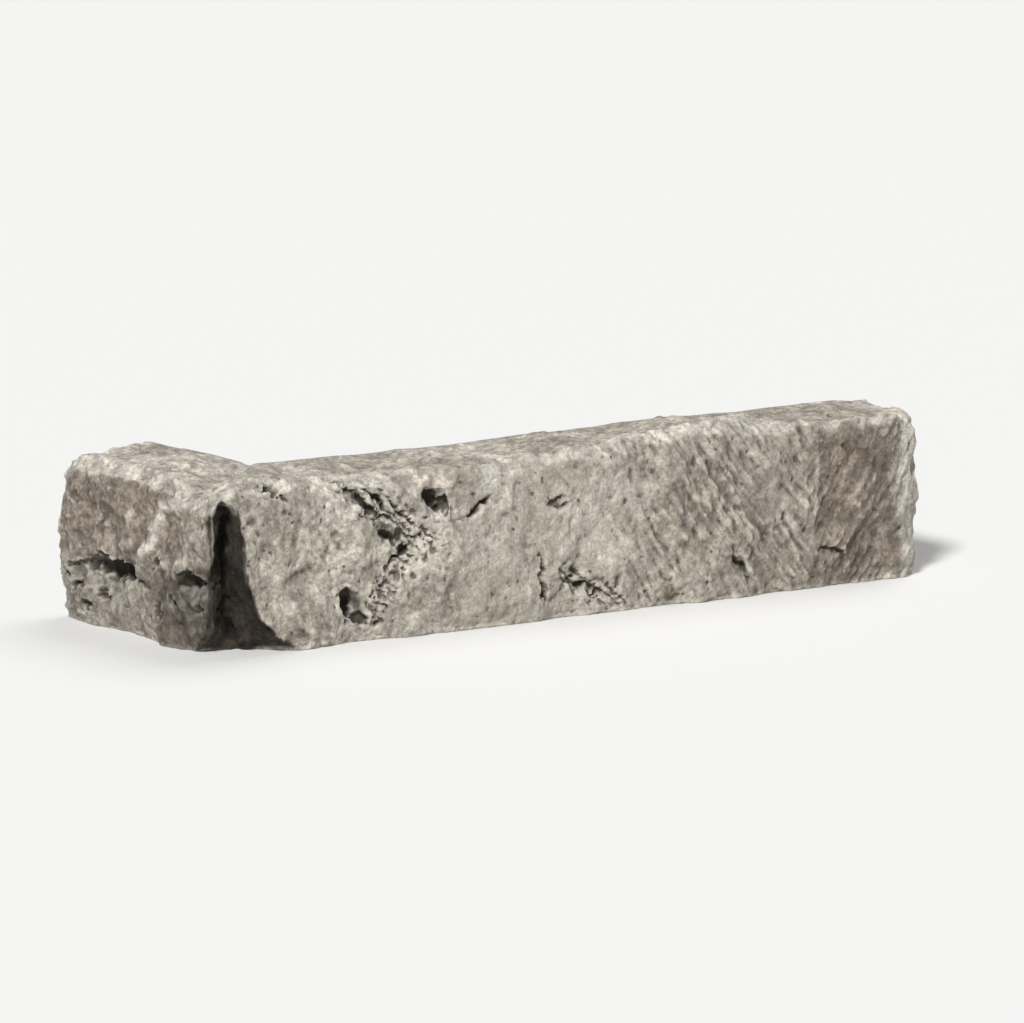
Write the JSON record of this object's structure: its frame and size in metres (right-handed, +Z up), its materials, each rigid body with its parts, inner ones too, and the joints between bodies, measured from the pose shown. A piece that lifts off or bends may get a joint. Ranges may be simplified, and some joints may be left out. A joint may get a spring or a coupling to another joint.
{
  "type": "manufactured stone veneer corner unit",
  "caption": "L-shaped veneer stone cast in concrete, with riven outer faces, a broken arris and flat backs that bond to an outside corner of a wall.",
  "frame": {"origin": "middle of the unit's outer box, on its bed", "axes": "+X along the long leg away from the arris, +Y in from the long riven face to its back and along the short leg, +Z up"},
  "size_m": [0.29, 0.105, 0.062],
  "materials": {
    "cast_stone": "warm grey cast concrete, riven and speckled, matte, with dark pits, a browner end and pale worn edges"
  },
  "bodies": {
    "root": {"corner_unit": "cast_stone"}
  },
  "joints": []
}
